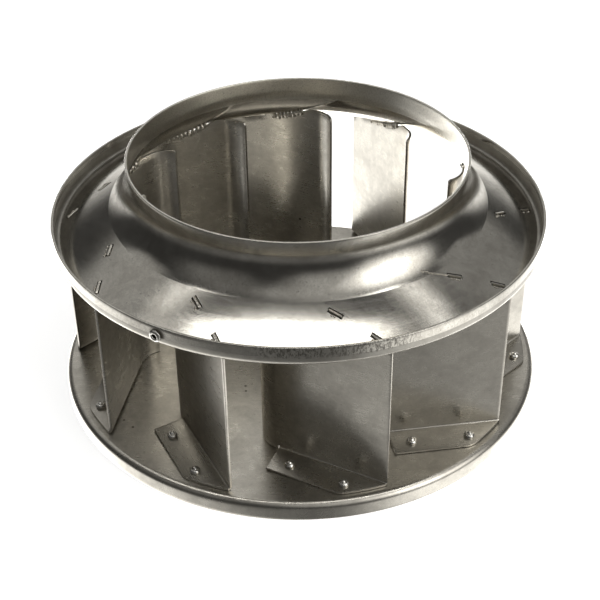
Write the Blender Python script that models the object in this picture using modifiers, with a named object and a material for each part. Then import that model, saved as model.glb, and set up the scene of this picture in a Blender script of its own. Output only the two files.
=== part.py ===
"""Backward-inclined blower wheel: a spun front shroud, ten folded sheet blades and a flanged backplate.

The wheel stands on the turned-down lip of its backplate. The origin is on the shaft axis, in the plane of
that lip's lower edge, and the inlet throat faces +Z. Azimuths run from the front (-Y) towards +X.
"""

import math

import bmesh
import bpy
from mathutils import Matrix, Vector

MM = 0.001

# Sheet and clearances
SHEET = 1.5 * MM
GAP = 0.3 * MM
TURN_STEPS = 72

# Front shroud, measured on the face seen from the inlet
THROAT_RADIUS = 104.7 * MM
THROAT_TOP = 157.1 * MM
NECK_END = 147.4 * MM
FLARE_RADIUS = 25.0 * MM
FLANGE_SLOPE = math.radians(25.4)
SHROUD_RADIUS = 152.5 * MM
SHROUD_LIP_TOP = 122.0 * MM
SHROUD_BEND = 2.5 * MM

# Backplate
BACKPLATE_RADIUS = 155.0 * MM
BACKPLATE_TOP = 11.5 * MM
BACKPLATE_BEND = 4.0 * MM

# Blades
BLADE_COUNT = 10
FIRST_BLADE_AZIMUTH = 0.0
CHORD_START = Vector((-13.9, -105.2)) * MM
CHORD_ANGLE = math.radians(-27.8)
CHORD_LENGTH = 72.3 * MM
NOSE_RADIUS = 16.8 * MM
NOSE_TURN = math.radians(60.0)
NOSE_TOP = 131.9 * MM
NOSE_CORNER = 1.0 * MM
NOSE_STEPS = 7

# Stations along the chord, each as a length and its number of even steps: the first run lies under
# the flare, and the second ends where the rim cuts the foot flange
CHORD_RUNS = ((18.0 * MM, 5), (50.5 * MM, 4), (CHORD_LENGTH, 3))

# Blade foot flange, cut to follow the rim
FLANGE_WIDTH = 20.5 * MM
FLANGE_LEAN = 1.3 * MM
FLANGE_RIM = 148.5 * MM

# Tabs through the shroud, as distances along the chord
TAB_PLACES = (37.7 * MM, 63.7 * MM)
TAB_LENGTH = 8.0 * MM
TAB_DEPTH = 8.0 * MM
TAB_STAND = 0.5 * MM
TAB_INSET = 0.02 * MM

# Blind rivets that hold the blade feet, as places along and across the chord
RIVET_PLACES = ((14.4 * MM, 13.0 * MM), (50.0 * MM, 13.0 * MM))
RIVET_SHANK = 2.4 * MM
RIVET_HEAD = 4.6 * MM
RIVET_HEAD_HEIGHT = 1.1 * MM
RIVET_BULB = 3.1 * MM
RIVET_BULB_HEIGHT = 3.4 * MM
RIVET_SIDES = 10
HOLE_DEPTH = 14.0 * MM

# Balance rivet in the shroud's lip, as low as its bulb clears the bend inside
BALANCE_AZIMUTH = math.radians(-30.9)
BALANCE_HEIGHT = 115.4 * MM
BALANCE_HEAD = 3.8 * MM
BALANCE_HOLLOW = 1.3 * MM
BALANCE_BULB = 2.6 * MM
BALANCE_BULB_LENGTH = 3.2 * MM

# Hub
HUB_BORE = 9.5 * MM
HUB_RADIUS = 20.0 * MM
HUB_HEIGHT = 38.0 * MM
HUB_FLANGE_RADIUS = 31.0 * MM
HUB_FLANGE_THICKNESS = 4.0 * MM
HUB_SPIGOT = 14.0 * MM
HUB_RIVETS = 4
HUB_RIVET_CIRCLE = 25.5 * MM
HUB_CHAMFER = 1.0 * MM
HUB_STEPS = 48
SET_SCREW_RADIUS = 3.0 * MM
SET_SCREW_HEIGHT = 26.0 * MM
SET_SCREW_INSET = 0.75 * MM
SET_SCREW_SIDES = 16


def clear_scene():
    for item in list(bpy.data.objects):
        bpy.data.objects.remove(item, do_unlink=True)


def make_collection(name):
    collection = bpy.data.collections.new(name)
    bpy.context.scene.collection.children.link(collection)
    return collection


def make_material(name, color, roughness, metallic=1.0):
    material = bpy.data.materials.new(name)
    material.use_nodes = True
    shader = material.node_tree.nodes["Principled BSDF"]
    shader.inputs["Base Color"].default_value = (*color, 1.0)
    shader.inputs["Roughness"].default_value = roughness
    shader.inputs["Metallic"].default_value = metallic
    return material


def add_object(name, mesh, collection, material=None):
    item = bpy.data.objects.new(name, mesh)
    collection.objects.link(item)
    if material:
        mesh.materials.clear()
        mesh.materials.append(material)
    return item


def smooth(mesh, angle=math.radians(35.0)):
    mesh.shade_smooth()
    mesh.set_sharp_from_angle(angle=angle)


def evaluated_mesh(item):
    """The mesh of an object with its modifiers applied, in world space."""
    depsgraph = bpy.context.evaluated_depsgraph_get()
    mesh = bpy.data.meshes.new_from_object(item.evaluated_get(depsgraph))
    mesh.transform(item.matrix_world)
    return mesh


def from_axis(radius, azimuth):
    """A point at a radius and an azimuth from the front, in the plane of the origin."""
    return Vector((radius * math.sin(azimuth), -radius * math.cos(azimuth), 0.0))


def arc(center, radius, start, end, count):
    """Points of an arc in the profile plane, from the start angle to the end angle."""
    points = []
    for index in range(count + 1):
        angle = start + (end - start) * index / count
        points.append((center[0] + radius * math.cos(angle), center[1] + radius * math.sin(angle)))
    return points


def profile_mesh(name, points):
    """A chain of edges in the XZ plane, ready for a Screw modifier."""
    mesh = bpy.data.meshes.new(name)
    edges = [(index, index + 1) for index in range(len(points) - 1)]
    mesh.from_pydata([(radius, 0.0, height) for radius, height in points], edges, [])
    return mesh


def add_screw(item, steps=TURN_STEPS):
    screw = item.modifiers.new("turn", "SCREW")
    screw.axis = "Z"
    screw.angle = math.tau
    screw.steps = steps
    screw.render_steps = steps
    screw.use_merge_vertices = True
    screw.merge_threshold = 0.00001
    screw.use_smooth_shade = True


def add_sheet_thickness(item, offset):
    wall = item.modifiers.new("sheet", "SOLIDIFY")
    wall.thickness = SHEET
    wall.offset = offset
    wall.use_even_offset = True
    wall.use_quality_normals = True


def add_boolean(item, cutter, operation):
    boolean = item.modifiers.new(cutter.name, "BOOLEAN")
    boolean.operation = operation
    boolean.solver = "EXACT"
    boolean.object = cutter


def make_cutter(name, mesh, collection):
    cutter = add_object(name, mesh, collection)
    cutter.hide_render = True
    cutter.display_type = "WIRE"
    return cutter


def turned_mesh(name, points, steps, collection):
    """A closed turned solid from a profile that runs down its outer side."""
    guide = make_cutter(name, profile_mesh(name, points), collection)
    add_screw(guide, steps)
    mesh = evaluated_mesh(guide)
    bpy.data.objects.remove(guide, do_unlink=True)
    return mesh


def box_mesh(size, matrix):
    shape = bmesh.new()
    bmesh.ops.create_cube(shape, size=1.0, matrix=matrix @ Matrix.Diagonal((*size, 1.0)))
    mesh = bpy.data.meshes.new("box")
    shape.to_mesh(mesh)
    shape.free()
    return mesh


def joined_mesh(name, meshes):
    """Several closed meshes as one mesh of separate shells."""
    shape = bmesh.new()
    for mesh in meshes:
        shape.from_mesh(mesh)
    joined = bpy.data.meshes.new(name)
    shape.to_mesh(joined)
    shape.free()
    return joined


def turned_about_axis(mesh, azimuth):
    copy = mesh.copy()
    copy.transform(Matrix.Rotation(azimuth, 4, "Z"))
    return copy


def blade_azimuths():
    return [FIRST_BLADE_AZIMUTH + math.tau * index / BLADE_COUNT for index in range(BLADE_COUNT)]


def chord_direction():
    return Vector((math.cos(CHORD_ANGLE), math.sin(CHORD_ANGLE)))


def chord_outward():
    """The unit vector square to the chord, away from the axis."""
    return Vector((math.sin(CHORD_ANGLE), -math.cos(CHORD_ANGLE)))


def chord_point(along, outward=0.0):
    return CHORD_START + along * chord_direction() + outward * chord_outward()


def shroud_underside(radius):
    """Height of the shroud's lower face at a radius, or of its throat rim inside the throat."""
    if radius <= THROAT_RADIUS - SHEET:
        return THROAT_TOP
    flare_center = THROAT_RADIUS + FLARE_RADIUS
    under_radius = FLARE_RADIUS + SHEET
    tangent = flare_center - under_radius * math.sin(FLANGE_SLOPE)
    if radius < tangent:
        return NECK_END - math.sqrt(under_radius ** 2 - (flare_center - radius) ** 2)
    tangent_height = NECK_END - under_radius * math.cos(FLANGE_SLOPE)
    return tangent_height - (radius - tangent) * math.tan(FLANGE_SLOPE)


def shroud_top(radius):
    """Height of the shroud's upper face on its sloping flange."""
    flare_center = THROAT_RADIUS + FLARE_RADIUS
    tangent = flare_center - FLARE_RADIUS * math.sin(FLANGE_SLOPE)
    tangent_height = NECK_END - FLARE_RADIUS * math.cos(FLANGE_SLOPE)
    return tangent_height - (radius - tangent) * math.tan(FLANGE_SLOPE)


def shroud_profile():
    """The inlet-side face of the shroud: throat, flare, sloping flange and turned-up lip."""
    flare_end = math.radians(270.0) - FLANGE_SLOPE
    points = [(THROAT_RADIUS, THROAT_TOP)]
    flare_center = (THROAT_RADIUS + FLARE_RADIUS, NECK_END)
    points += arc(flare_center, FLARE_RADIUS, math.pi, flare_end, 7)
    bend_radius = SHROUD_RADIUS - SHEET - SHROUD_BEND
    bend_height = shroud_top(bend_radius) + SHROUD_BEND / math.cos(FLANGE_SLOPE)
    points += arc((bend_radius, bend_height), SHROUD_BEND, flare_end, math.tau, 4)
    points.append((SHROUD_RADIUS - SHEET, SHROUD_LIP_TOP))
    return points


def blade_line():
    """The blade's middle line in plan, from the nose to the trailing edge, as point and outward pairs."""
    line = []
    for index in range(NOSE_STEPS):
        turn = NOSE_TURN * (1.0 - index / NOSE_STEPS)
        center = chord_point(0.0, -NOSE_RADIUS)
        outward = Matrix.Rotation(-turn, 2) @ chord_outward()
        line.append((center + NOSE_RADIUS * outward, outward))
    for along in chord_stations():
        line.append((chord_point(along), chord_outward()))
    return line


def chord_stations():
    """Distances along the chord, run by run."""
    stations = [0.0]
    for run_end, count in CHORD_RUNS:
        run_start = stations[-1]
        stations += [run_start + (run_end - run_start) * step / count for step in range(1, count + 1)]
    return stations


def blade_top(point, outward, from_nose):
    """Height of the blade's upper edge: level at the nose, then just under the shroud."""
    radius = (point + outward * SHEET / 2).length
    height = min(NOSE_TOP, shroud_underside(radius) - GAP)
    if from_nose < NOSE_CORNER:
        corner_drop = NOSE_CORNER - math.sqrt(NOSE_CORNER ** 2 - (NOSE_CORNER - from_nose) ** 2)
        height = min(height, NOSE_TOP - corner_drop)
    return height


def flange_reach(along):
    """How far the foot flange runs out from the blade: its full width, or less where the rim cuts it."""
    start = chord_point(along)
    outward = chord_outward()
    middle = start.dot(outward)
    to_rim = -middle + math.sqrt(middle ** 2 - start.length_squared + FLANGE_RIM ** 2)
    return min(FLANGE_WIDTH, to_rim)


def blade_sheet():
    """The blade and its foot flange as one folded open surface."""
    foot = BACKPLATE_TOP + GAP + SHEET / 2
    shape = bmesh.new()
    line = blade_line()
    verts = [shape.verts.new((*point, foot)) for point, outward in line]
    edges = [shape.edges.new((verts[index], verts[index + 1])) for index in range(len(verts) - 1)]
    raised = bmesh.ops.extrude_edge_only(shape, edges=edges)["geom"]
    top_verts = [item for item in raised if isinstance(item, bmesh.types.BMVert)]
    for vert in top_verts:
        spot = min(range(len(line)), key=lambda index: (line[index][0] - vert.co.xy).length)
        from_nose = sum((line[index + 1][0] - line[index][0]).length for index in range(spot))
        vert.co.z = blade_top(*line[spot], from_nose)
    fold_edges = edges[len(line) - len(chord_stations()):]
    spread = bmesh.ops.extrude_edge_only(shape, edges=fold_edges)["geom"]
    for vert in [item for item in spread if isinstance(item, bmesh.types.BMVert)]:
        along = (vert.co.xy - CHORD_START).dot(chord_direction())
        lean = FLANGE_LEAN if along < MM else 0.0
        vert.co.xy = chord_point(along + lean, flange_reach(along))
    bmesh.ops.recalc_face_normals(shape, faces=shape.faces)
    mesh = bpy.data.meshes.new("blade_sheet")
    shape.to_mesh(mesh)
    shape.free()
    return mesh


def tab_matrix(along):
    """Where a tab stands: upright, in line with the chord, with its top sheared to the flange's slope."""
    place = chord_point(along)
    top = shroud_top(place.length) + TAB_STAND
    shear = Matrix.Identity(4)
    shear[2][0] = -math.tan(FLANGE_SLOPE) * chord_direction().dot(place.normalized())
    return Matrix.Translation((*place, top)) @ Matrix.Rotation(CHORD_ANGLE, 4, "Z") @ shear


def tab_box(along, clearance):
    """A tab that reaches down into the blade from its top, or with clearance its slot."""
    width = SHEET - TAB_INSET + 2 * clearance
    size = (TAB_LENGTH + 2 * clearance, width, TAB_DEPTH + clearance)
    middle = Matrix.Translation((0.0, 0.0, (clearance - TAB_DEPTH) / 2))
    return box_mesh(size, tab_matrix(along) @ middle)


def round_plug(name, radius, length, sides, matrix):
    """A plain cylinder whose axis is the matrix's Z."""
    shape = bmesh.new()
    bmesh.ops.create_cone(shape, cap_ends=True, segments=sides, radius1=radius, radius2=radius,
                          depth=length, matrix=matrix)
    mesh = bpy.data.meshes.new(name)
    shape.to_mesh(mesh)
    shape.free()
    return mesh


def rivet_hole():
    """A rivet hole's cutter on the Z axis through the backplate and what stands on it."""
    middle = Matrix.Translation((0.0, 0.0, BACKPLATE_TOP))
    return round_plug("rivet_hole", RIVET_SHANK + GAP, HOLE_DEPTH, RIVET_SIDES, middle)


def moved(mesh, offset):
    copy = mesh.copy()
    copy.transform(Matrix.Translation(offset))
    return copy


def blade_rivet_centers():
    return [Vector((*chord_point(along, across), 0.0)) for along, across in RIVET_PLACES]


def make_blades(parts, cutters, material):
    guide = make_cutter("blade_guide", blade_sheet(), cutters)
    add_sheet_thickness(guide, 0.0)
    tabs = joined_mesh("blade_tabs", [tab_box(along, 0.0) for along in TAB_PLACES])
    add_boolean(guide, make_cutter("blade_tabs", tabs, cutters), "UNION")
    holes = joined_mesh("foot_holes", [moved(rivet_hole(), center) for center in blade_rivet_centers()])
    add_boolean(guide, make_cutter("foot_holes", holes, cutters), "DIFFERENCE")
    mesh = evaluated_mesh(guide)
    smooth(mesh)
    for index, azimuth in enumerate(blade_azimuths()):
        blade = add_object(f"blade_{index + 1:02d}", mesh, parts, material)
        blade.rotation_euler.z = azimuth


def make_shroud(parts, cutters, material):
    shroud = add_object("front_shroud", profile_mesh("front_shroud", shroud_profile()), parts, material)
    add_screw(shroud)
    add_sheet_thickness(shroud, -1.0)
    slots = [tab_box(along, GAP) for along in TAB_PLACES]
    ring = [turned_about_axis(slot, azimuth) for azimuth in blade_azimuths() for slot in slots]
    add_boolean(shroud, make_cutter("tab_slots", joined_mesh("tab_slots", ring), cutters), "DIFFERENCE")
    through_lip = (Matrix.Rotation(BALANCE_AZIMUTH, 4, "Z")
                   @ Matrix.Translation((0.0, -SHROUD_RADIUS, BALANCE_HEIGHT))
                   @ Matrix.Rotation(math.pi / 2, 4, "X"))
    hole = round_plug("balance_hole", RIVET_SHANK + GAP, HOLE_DEPTH, RIVET_SIDES, through_lip)
    add_boolean(shroud, make_cutter("balance_hole", hole, cutters), "DIFFERENCE")


def make_backplate(parts, cutters, material):
    bend_radius = BACKPLATE_RADIUS - BACKPLATE_BEND
    points = [(HUB_SPIGOT + GAP, BACKPLATE_TOP)]
    points += arc((bend_radius, BACKPLATE_TOP - BACKPLATE_BEND), BACKPLATE_BEND, math.pi / 2, 0.0, 5)
    points.append((BACKPLATE_RADIUS, 0.0))
    plate = add_object("backplate", profile_mesh("backplate", points), parts, material)
    add_screw(plate)
    add_sheet_thickness(plate, -1.0)
    blade_holes = [moved(rivet_hole(), center) for center in blade_rivet_centers()]
    ring = [turned_about_axis(hole, azimuth) for azimuth in blade_azimuths() for hole in blade_holes]
    ring += [moved(rivet_hole(), center) for center in hub_rivet_centers()]
    add_boolean(plate, make_cutter("plate_holes", joined_mesh("plate_holes", ring), cutters), "DIFFERENCE")


def rivet_mesh(name, grip_top, cutters):
    """A blind rivet on the Z axis: flat head under the backplate, bulb standing on the grip's top."""
    head_top = BACKPLATE_TOP - SHEET - GAP
    bulb_foot = grip_top + GAP
    points = [
        (0.0, bulb_foot + RIVET_BULB_HEIGHT),
        (0.6 * RIVET_BULB, bulb_foot + 0.88 * RIVET_BULB_HEIGHT),
        (RIVET_BULB, bulb_foot + 0.45 * RIVET_BULB_HEIGHT),
        (0.9 * RIVET_BULB, bulb_foot),
        (RIVET_SHANK, bulb_foot),
        (RIVET_SHANK, head_top),
        (RIVET_HEAD, head_top),
        (0.7 * RIVET_HEAD, head_top - RIVET_HEAD_HEIGHT),
        (0.0, head_top - RIVET_HEAD_HEIGHT),
    ]
    return turned_mesh(name, points, RIVET_SIDES, cutters)


def make_blade_rivets(parts, cutters, material):
    mesh = rivet_mesh("blade_rivet", BACKPLATE_TOP + GAP + SHEET, cutters)
    smooth(mesh)
    for blade, azimuth in enumerate(blade_azimuths()):
        for place, center in zip(("inner", "outer"), blade_rivet_centers()):
            rivet = add_object(f"blade_{blade + 1:02d}_rivet_{place}", mesh, parts, material)
            rivet.location = Matrix.Rotation(azimuth, 3, "Z") @ center


def hub_rivet_centers():
    azimuths = [math.tau * (index + 0.5) / HUB_RIVETS for index in range(HUB_RIVETS)]
    return [from_axis(HUB_RIVET_CIRCLE, azimuth) for azimuth in azimuths]


def make_hub(parts, cutters, material):
    """Turned hub: a spigot in the backplate's hole, a riveted flange on it and a bored boss above."""
    seat = BACKPLATE_TOP + GAP
    flange_top = seat + HUB_FLANGE_THICKNESS
    spigot_end = BACKPLATE_TOP - SHEET - HUB_CHAMFER
    points = [
        (HUB_BORE, flange_top),
        (HUB_BORE, seat + HUB_HEIGHT),
        (HUB_RADIUS - HUB_CHAMFER, seat + HUB_HEIGHT),
        (HUB_RADIUS, seat + HUB_HEIGHT - HUB_CHAMFER),
        (HUB_RADIUS, flange_top),
        (HUB_FLANGE_RADIUS - HUB_CHAMFER, flange_top),
        (HUB_FLANGE_RADIUS, flange_top - HUB_CHAMFER),
        (HUB_FLANGE_RADIUS, seat),
        (HUB_SPIGOT, seat),
        (HUB_SPIGOT, spigot_end),
        (HUB_BORE, spigot_end),
        (HUB_BORE, flange_top),
    ]
    hub = add_object("hub", turned_mesh("hub", points, HUB_STEPS, cutters), parts, material)
    holes = joined_mesh("hub_holes", [moved(rivet_hole(), center) for center in hub_rivet_centers()])
    add_boolean(hub, make_cutter("hub_holes", holes, cutters), "DIFFERENCE")
    screw_hole = make_cutter("screw_hole", set_screw_mesh(GAP, 2 * SET_SCREW_INSET), cutters)
    add_boolean(hub, screw_hole, "DIFFERENCE")
    smooth(hub.data)


def set_screw_mesh(clearance, overrun):
    """A plug along -Y in the boss wall, sunk at both ends, or with clearance and overrun its hole."""
    length = HUB_RADIUS - HUB_BORE - 2 * SET_SCREW_INSET + 2 * overrun
    middle = -(HUB_RADIUS + HUB_BORE) / 2
    place = Matrix.Translation((0.0, middle, BACKPLATE_TOP + SET_SCREW_HEIGHT))
    along_y = place @ Matrix.Rotation(math.pi / 2, 4, "X")
    return round_plug("hub_set_screw", SET_SCREW_RADIUS + clearance, length, SET_SCREW_SIDES, along_y)


def make_hub_fasteners(parts, cutters, material):
    mesh = rivet_mesh("hub_rivet", BACKPLATE_TOP + GAP + HUB_FLANGE_THICKNESS, cutters)
    smooth(mesh)
    for index, center in enumerate(hub_rivet_centers()):
        rivet = add_object(f"hub_rivet_{index + 1}", mesh, parts, material)
        rivet.location = center
    screw = add_object("hub_set_screw", set_screw_mesh(0.0, 0.0), parts, material)
    smooth(screw.data)


def make_balance_rivet(parts, cutters, material):
    """A blind rivet set from outside the lip, its hollow head outward and its bulb inside."""
    outer_face = SHROUD_RADIUS + GAP
    inner_face = SHROUD_RADIUS - SHEET - GAP
    hollow_foot = outer_face - RIVET_HEAD_HEIGHT
    bulb_end = inner_face - BALANCE_BULB_LENGTH
    points = [
        (0.0, hollow_foot),
        (BALANCE_HOLLOW, hollow_foot),
        (BALANCE_HOLLOW, outer_face + RIVET_HEAD_HEIGHT),
        (2 * BALANCE_HOLLOW, outer_face + RIVET_HEAD_HEIGHT),
        (BALANCE_HEAD, outer_face + 0.4 * RIVET_HEAD_HEIGHT),
        (BALANCE_HEAD, outer_face),
        (RIVET_SHANK, outer_face),
        (RIVET_SHANK, inner_face),
        (BALANCE_BULB, inner_face),
        (BALANCE_BULB, (inner_face + bulb_end) / 2),
        (0.5 * BALANCE_BULB, bulb_end),
        (0.0, bulb_end),
    ]
    mesh = turned_mesh("balance_rivet", points, RIVET_SIDES, cutters)
    smooth(mesh)
    rivet = add_object("balance_rivet", mesh, parts, material)
    out_of_lip = Matrix.Rotation(math.pi / 2, 4, "X")
    rivet.matrix_world = (Matrix.Rotation(BALANCE_AZIMUTH, 4, "Z")
                          @ Matrix.Translation((0.0, 0.0, BALANCE_HEIGHT)) @ out_of_lip)


def main():
    clear_scene()
    parts = make_collection("blower_wheel")
    cutters = make_collection("cutters")
    spun_sheet = make_material("spun_steel_shroud", (0.42, 0.40, 0.37), 0.30)
    plate_sheet = make_material("steel_backplate", (0.40, 0.38, 0.36), 0.36)
    blade_sheet_metal = make_material("steel_blade_sheet", (0.36, 0.34, 0.31), 0.34)
    rivet_steel = make_material("steel_rivet", (0.50, 0.48, 0.46), 0.22)
    hub_steel = make_material("turned_steel_hub", (0.34, 0.33, 0.32), 0.38)
    make_backplate(parts, cutters, plate_sheet)
    make_shroud(parts, cutters, spun_sheet)
    make_blades(parts, cutters, blade_sheet_metal)
    make_blade_rivets(parts, cutters, rivet_steel)
    make_hub(parts, cutters, hub_steel)
    make_hub_fasteners(parts, cutters, rivet_steel)
    make_balance_rivet(parts, cutters, rivet_steel)


main()
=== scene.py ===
"""Blower wheel for rendering: spun inlet shroud, ten folded blades, flanged backplate, rivets and hub.

All places are in metres in the frame of the CAD model: the origin is on the shaft axis in the plane of the
backplate lip's lower edge, +Z points to the inlet throat, and azimuths run from the front (-Y) towards +X.
"""

import math

import bmesh
import bpy
from bpy.props import FloatProperty, FloatVectorProperty, IntProperty, PointerProperty
from mathutils import Matrix, Vector, noise


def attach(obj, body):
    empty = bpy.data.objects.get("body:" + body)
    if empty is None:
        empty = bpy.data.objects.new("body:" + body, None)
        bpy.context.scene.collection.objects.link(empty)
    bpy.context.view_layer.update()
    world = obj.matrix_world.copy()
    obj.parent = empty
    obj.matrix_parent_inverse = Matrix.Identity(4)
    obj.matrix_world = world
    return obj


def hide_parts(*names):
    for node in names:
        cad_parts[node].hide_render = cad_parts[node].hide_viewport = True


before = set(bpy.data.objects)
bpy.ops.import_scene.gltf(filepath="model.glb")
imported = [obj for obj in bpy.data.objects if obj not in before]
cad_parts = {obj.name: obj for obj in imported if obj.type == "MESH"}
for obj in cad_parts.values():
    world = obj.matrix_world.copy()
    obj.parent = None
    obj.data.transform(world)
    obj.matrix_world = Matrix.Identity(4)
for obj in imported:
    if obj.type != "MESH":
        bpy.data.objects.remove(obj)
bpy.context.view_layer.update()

bl_info = {
    "name": "Blower Wheel",
    "version": (1, 0, 0),
    "blender": (4, 5, 0),
    "location": "3D View > Sidebar > Wheel",
    "description": "Builds a sheet steel blower wheel piece by piece",
    "category": "Mesh",
}

MM = 0.001

# Spun shroud
FLARE_RADIUS = 27.0 * MM
NECK_END = 149.15 * MM
FLANGE_SLOPE = math.radians(25.4)
FLANGE_RADIUS, FLANGE_HEIGHT = 118.98 * MM, 124.82 * MM
SHROUD_LIP_TOP = 122.0 * MM
SHROUD_BEND = 2.5 * MM
RIDGE_RADIUS = 117.0 * MM
RIDGE_CROWN = 0.75 * MM
CROWN_TOP, CROWN_END = 127.0 * MM, 149.0 * MM
CROWN_HEIGHT = 0.95 * MM
SLOT_SIDE, SLOT_END = 0.75 * MM, 0.5 * MM

# Backplate
PLATE_TOP = 11.5 * MM
PLATE_BEND = 4.0 * MM

# Blades, from the plan of the chord
GAP = 0.3 * MM
CHORD_START = Vector((-13.9, -105.2)) * MM
CHORD_ANGLE = math.radians(-27.8)
CHORD_LENGTH = 72.3 * MM
NOSE_RADIUS = 16.8 * MM
NOSE_TURN = math.radians(60.0)
NOSE_TOP = 131.9 * MM
NOSE_CORNER = 1.2 * MM
FOOT_WIDTH = 20.5 * MM
FOOT_LEAN = 1.3 * MM
FOOT_RIM = 148.5 * MM
TAB_PLACES = (37.7 * MM, 63.7 * MM)
TAB_LENGTH = 8.0 * MM
TAB_STAND = 0.5 * MM
RIVET_PLACES = ((14.4 * MM, 13.0 * MM), (50.0 * MM, 13.0 * MM))

# Weld runs on the blades' inner faces: along the blade, where each starts and ends
WELD_START = 12.0 * MM
WELD_ENDS = tuple(end * MM for end in (36.0, 38.0, 34.0, 37.0, 46.0, 35.0, 40.0, 36.0, 38.0, 34.0))
WELD_PITCH = 3.1 * MM
BURN_BLADE = 1
BURN_START, BURN_END = 18.0 * MM, 39.0 * MM

# Dark specks: on the backplate by place and radius, on a blade by number, along, side, height and radius
PLATE_SPECKS = ((-35.4, -45.2, 1.1), (-35.0, -50.3, 1.1), (-110.1, -77.5, 0.9), (-103.9, -84.3, 1.1))
BLADE_SPECKS = ((6, 48.4, -1.0, 99.6, 1.3),
                (5, 14.1, -1.0, 41.8, 1.2), (6, 33.9, -1.0, 110.7, 1.0))

# Where grime is thick on the lip's face, and how far it reaches
GRIME_PLACE = (18.0 * MM, -151.0 * MM, 118.0 * MM)
GRIME_REACH = 52.0 * MM

# Balance rivet in the shroud's lip, and the painted shadow beside it by radius, azimuth and height
BALANCE_AZIMUTH = math.radians(-30.9)
BALANCE_HEIGHT = 115.4 * MM
BALANCE_SHADE = (152.5 * MM, math.radians(-30.2), 117.0 * MM)

# Hub, with rivets on a circle and a set screw
HUB_BORE = 9.5 * MM
HUB_RADIUS = 20.0 * MM
HUB_HEIGHT = 38.0 * MM
HUB_FLANGE_RADIUS = 31.0 * MM
HUB_FLANGE_THICKNESS = 4.0 * MM
HUB_SPIGOT = 14.0 * MM
HUB_RIVETS = 4
HUB_RIVET_CIRCLE = 25.5 * MM
SET_SCREW_HEIGHT = 26.0 * MM

# Studio
TARGET = Vector((0.34, 0.0, 46.9)) * MM
CAMERA_DISTANCE = 827.7 * MM
CAMERA_ELEVATION = math.radians(34.83)
CAMERA_ROLL = math.radians(-0.72)
CAMERA_LENS = 75.6

# Soft boxes and panels that the metal mirrors: azimuth, elevation, half width, half height (degrees),
# softness of the edge as a share of the half size, and radiance
STUDIO_PANELS = (
    ("key box", 59.7, 24.6, 17.8, 23.9, 0.85, 3.23),
    ("overhead box", 175.6, 91.0, 32.6, 4.3, 0.11, 4.27),
    ("overhead back", 207.5, 61.8, 23.9, 3.7, 0.10, 1.60),
    ("back wall", 179.0, -20.3, 29.7, 6.1, 0.38, 9.37),
    ("left fill", -52.5, 39.4, 19.0, 22.9, 0.64, 0.16),
    ("back left fill", 211.3, 43.0, 40.0, 11.2, 0.28, 0.42),
    ("right low", 74.1, -38.7, 26.6, 16.2, 0.98, 2.02),
    ("back right", 153.4, 38.5, 45.3, 15.2, 0.09, 0.27),
    ("table back", 178.4, -42.9, 43.6, 44.5, 0.89, 3.35),
    ("front top", 28.2, 45.7, 28.4, 32.2, 0.56, 0.44),
    ("table left", 217.8, -67.5, 45.8, 35.9, 0.64, 2.10),
    ("side strip", 141.2, 60.8, 21.7, 3.1, 0.34, 2.06),
)
STUDIO_DARK = 0.052
FLOOR_GLOW = 0.088
FLOOR_GLOW_FRONT = 0.124


def linear(hex_colour):
    """A colour given as sRGB hex, as linear red, green, blue and alpha."""
    values = [int(hex_colour[place:place + 2], 16) / 255 for place in (1, 3, 5)]
    return tuple(v / 12.92 if v <= 0.04045 else ((v + 0.055) / 1.055) ** 2.4 for v in values) + (1.0,)


# ---------------------------------------------------------------- materials

def add_node(tree, kind, values=None, **settings):
    """A new node: settings are its own attributes, values its inputs, each a constant or a socket to link."""
    node = tree.nodes.new(kind)
    for name, value in settings.items():
        setattr(node, name, value)
    for name, value in (values or {}).items():
        if isinstance(value, bpy.types.NodeSocket):
            tree.links.new(value, node.inputs[name])
        else:
            node.inputs[name].default_value = value
    return node


def new_metal(name, base, roughness, anisotropy=0.0):
    """A bare metal with its constant values set, and its tree, shader and object coordinates."""
    material = bpy.data.materials.new(name)
    material.use_nodes = True
    tree = material.node_tree
    shader = tree.nodes["Principled BSDF"]
    shader.inputs["Base Color"].default_value = base
    shader.inputs["Metallic"].default_value = 1.0
    shader.inputs["Roughness"].default_value = roughness
    shader.inputs["Anisotropic"].default_value = anisotropy
    coords = add_node(tree, "ShaderNodeTexCoord")
    return material, tree, shader, coords


def share_of(tree, value, low, high, start=0.0, end=1.0):
    """A value mapped from one range to another, held at its ends, with an even start and stop."""
    node = add_node(tree, "ShaderNodeMapRange", {"Value": value, "From Min": low, "From Max": high,
                                                 "To Min": start, "To Max": end}, interpolation_type="SMOOTHSTEP")
    return node.outputs[0]


def product(tree, first, second, operation="MULTIPLY"):
    return add_node(tree, "ShaderNodeMath", {0: first, 1: second}, operation=operation).outputs[0]


def blend(tree, share, first, second):
    """A colour between two, by a share from 0 to 1."""
    return add_node(tree, "ShaderNodeMix", {0: share, 6: first, 7: second}, data_type="RGBA").outputs[2]


def cloud(tree, place, size, detail=4.0, roughness=0.6, distortion=0.0):
    """Soft noise with features of one size, or of a size along each axis."""
    sizes = size if isinstance(size, tuple) else (size, size, size)
    spread = add_node(tree, "ShaderNodeVectorMath", {0: place, 1: tuple(1.0 / each for each in sizes)},
                      operation="MULTIPLY")
    return add_node(tree, "ShaderNodeTexNoise", {"Vector": spread.outputs[0], "Scale": 1.0, "Detail": detail,
                                                 "Roughness": roughness, "Distortion": distortion}).outputs["Fac"]


def specks(tree, place, spots):
    """A mask that is 1 in small round spots, each given by its centre and radius."""
    mask = 0.0
    for centre, radius in spots:
        away = add_node(tree, "ShaderNodeVectorMath", {0: place, 1: centre}, operation="DISTANCE").outputs["Value"]
        mask = product(tree, share_of(tree, away, 0.45 * radius, radius, 1.0, 0.0), mask, "MAXIMUM")
    return mask


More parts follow.
